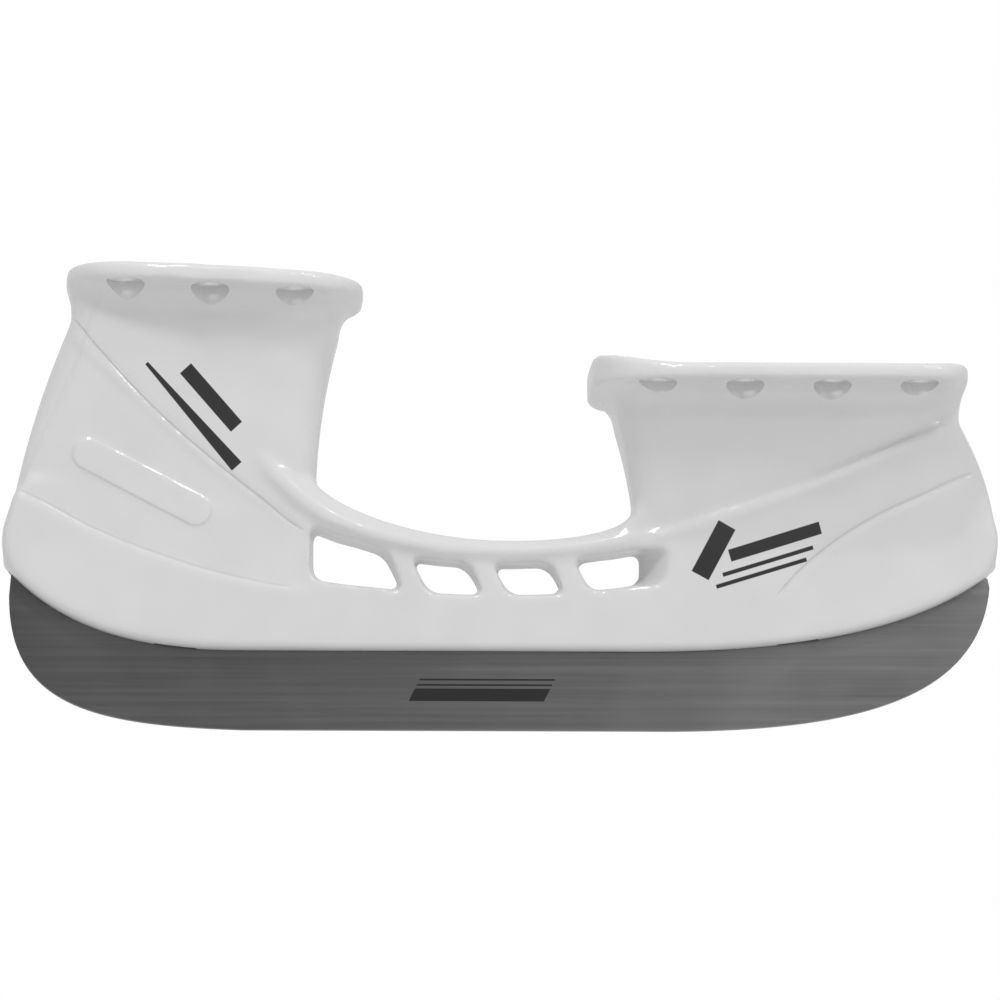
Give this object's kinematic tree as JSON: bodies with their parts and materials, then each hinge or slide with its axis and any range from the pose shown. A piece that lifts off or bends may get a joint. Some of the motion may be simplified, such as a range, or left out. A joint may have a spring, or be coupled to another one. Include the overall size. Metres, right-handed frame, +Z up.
{
  "type": "ice skate blade holder with runner",
  "caption": "Nylon ice-hockey blade holder with two hollow towers, a windowed bridge and a steel runner drawn up into its slot by T-bolts and nuts",
  "frame": {"origin": "on the ice under the middle of the holder's length, on its mid-plane", "axes": "+X towards the toe, +Y to the left side, +Z up to the boot"},
  "size_m": [0.2208, 0.068, 0.1015],
  "materials": {
    "holder": "light grey-white moulded nylon, soft gloss",
    "runner": "ground stainless steel, fine grain along its length",
    "rear_t_bolt": "zinc-plated",
    "rear_washer": "zinc-plated",
    "rear_spring_washer": "zinc-plated",
    "rear_nut": "zinc-plated",
    "front_t_bolt": "zinc-plated",
    "front_washer": "zinc-plated",
    "front_spring_washer": "zinc-plated",
    "front_nut": "zinc-plated"
  },
  "bodies": {
    "holder": {"holder": "holder"},
    "runner": {"runner": "runner", "rear_t_bolt": "rear_t_bolt", "front_t_bolt": "front_t_bolt"},
    "rear_washers": {"rear_washer": "rear_washer", "rear_spring_washer": "rear_spring_washer"},
    "rear_nut": {"rear_nut": "rear_nut"},
    "front_washers": {"front_washer": "front_washer", "front_spring_washer": "front_spring_washer"},
    "front_nut": {"front_nut": "front_nut"}
  },
  "joints": [
    {"name": "runner_slide", "type": "slide", "parent": "holder", "child": "runner", "axis": [0, 0, -1], "range_m": [0, 0.045]},
    {"name": "rear_washers_lift", "type": "slide", "parent": "holder", "child": "rear_washers", "axis": [0, 0, 1], "range_m": [0, 0.056]},
    {"name": "rear_nut_turn", "type": "hinge", "parent": "rear_washers", "child": "rear_nut", "pos_m": [-0.072, 0, 0.055], "axis": [0, 0, 1], "continuous": true},
    {"name": "front_washers_lift", "type": "slide", "parent": "holder", "child": "front_washers", "axis": [0, 0, 1], "range_m": [0, 0.034]},
    {"name": "front_nut_turn", "type": "hinge", "parent": "front_washers", "child": "front_nut", "pos_m": [0.066, 0, 0.055], "axis": [0, 0, 1], "continuous": true}
  ]
}
